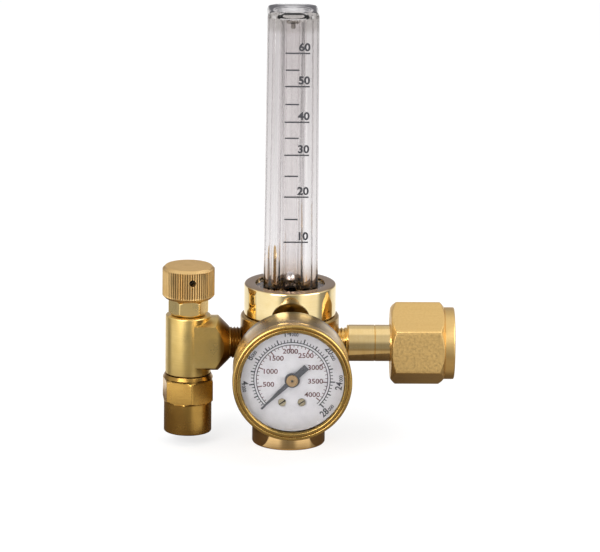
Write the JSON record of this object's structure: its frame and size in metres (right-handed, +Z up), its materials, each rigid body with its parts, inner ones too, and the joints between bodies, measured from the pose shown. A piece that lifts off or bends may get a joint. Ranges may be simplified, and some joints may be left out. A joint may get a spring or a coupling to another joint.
{
  "type": "carbon dioxide welding regulator",
  "caption": "Brass gas regulator with a round pressure gauge, a tall clear flow tube, a knurled flow valve and a hexagon cylinder nut.",
  "frame": {"origin": "middle of the flat bottom face that the regulator stands on", "axes": "+Z up along the flow tube, -Y to the front where the gauge looks out, +X along the inlet towards the gas cylinder"},
  "size_m": [0.1256, 0.0734, 0.191],
  "materials": {
    "body_brass": "fine turned",
    "base_brass": "satin",
    "mirror_brass": "mirror polished",
    "bright_brass": "polished",
    "nut_brass": "satin with grain along the flats",
    "valve_brass": "fine turned",
    "outlet_brass": "fine turned",
    "knob_brass": "knurled, satin",
    "case_brass": "satin",
    "bezel_brass": "polished",
    "movement_brass": "stamped and cut",
    "bronze": "drawn phosphor bronze",
    "sintered_bronze": "sintered",
    "chrome": "bright steel ball",
    "steel": "plain steel",
    "dark_steel": "black oxide",
    "rubber": "black seal rubber",
    "nylon": "natural nylon",
    "white_plastic": "moulded",
    "dial_white": "painted bluish white",
    "pointer_black": "painted black",
    "clear_plastic": "clear polycarbonate",
    "clear_lens": "clear polycarbonate"
  },
  "bodies": {
    "regulator": {"base_cap": "base_brass", "regulator_body": "body_brass", "nozzle": "bright_brass", "regulating_spring": "steel", "tube_collar": "mirror_brass", "cover_oring": "rubber", "flow_tube_cover": "clear_plastic", "inner_flow_tube": "clear_plastic", "tube_foot_oring": "rubber", "ball_stop": "white_plastic", "inlet_nipple": "bright_brass", "inlet_filter": "sintered_bronze", "inlet_washer": "nylon", "valve_body": "valve_brass", "stem_packing": "nylon", "gland_ring": "bright_brass", "packing_nut": "valve_brass", "outlet_connector": "outlet_brass", "gauge_socket": "bright_brass", "bourdon_tube": "bronze", "movement_frame": "movement_brass", "sector_pin": "steel", "hairspring": "bronze", "gauge_case": "case_brass", "gauge_bezel": "bezel_brass", "gauge_lens": "clear_lens", "lens_gasket": "rubber", "gauge_dial": "dial_white", "dial_screw_left": "bright_brass", "dial_screw_right": "bright_brass"},
    "piston_group": {"piston": "bright_brass", "piston_oring": "rubber", "seat_disc": "nylon"},
    "stem": {"valve_stem": "bright_brass"},
    "knob": {"valve_knob": "knob_brass", "knob_set_screw": "dark_steel"},
    "nut": {"inlet_nut": "nut_brass"},
    "ball": {"flow_ball": "chrome"},
    "sector": {"sector_gear": "movement_brass"},
    "link": {"gauge_link": "steel"},
    "pointer_group": {"pinion_arbor": "steel", "pointer": "pointer_black", "pointer_hub": "bright_brass"}
  },
  "joints": [
    {"name": "piston_slide", "type": "slide", "parent": "regulator", "child": "piston_group", "axis": [0, 0, 1], "range_m": [0, 0.0006], "stiffness_N_per_m": 9000, "springref_m": -0.002, "deforming": ["regulating_spring"]},
    {"name": "stem_rise", "type": "slide", "parent": "regulator", "child": "stem", "axis": [0, 0, 1], "range_m": [0, 0.00175]},
    {"name": "knob_turn", "type": "hinge", "parent": "stem", "child": "knob", "pos_m": [-0.0436, 0, 0.0711], "axis": [0, 0, 1], "range_deg": [0, 900]},
    {"name": "nut_swivel", "type": "hinge", "parent": "regulator", "child": "nut", "pos_m": [0.055, 0, 0.044], "axis": [1, 0, 0], "continuous": true},
    {"name": "ball_float", "type": "slide", "parent": "regulator", "child": "ball", "axis": [0, 0, 1], "range_m": [0, 0.106]},
    {"name": "sector_turn", "type": "hinge", "parent": "regulator", "child": "sector", "pos_m": [-0.0104, -0.0353, 0.04758], "axis": [0, -1, 0], "range_deg": [0, 44], "stiffness_Nm_per_rad": 0.0005, "springref_deg": -17.19},
    {"name": "link_turn", "type": "hinge", "parent": "sector", "child": "link", "pos_m": [-0.01296, -0.03425, 0.04804], "axis": [0, -1, 0], "range_deg": [-44.1, 0]},
    {"name": "pointer_turn", "type": "hinge", "parent": "regulator", "child": "pointer_group", "pos_m": [0, -0.04665, 0.0403], "axis": [0, 1, 0], "range_deg": [0, 264.1]}
  ],
  "couplings": [
    {"joint": "knob_turn", "follows": "stem_rise", "rad_per_m": 8976},
    {"joint": "link_turn", "follows": "sector_turn", "ratio": -1},
    {"joint": "pointer_turn", "follows": "sector_turn", "ratio": 6}
  ]
}
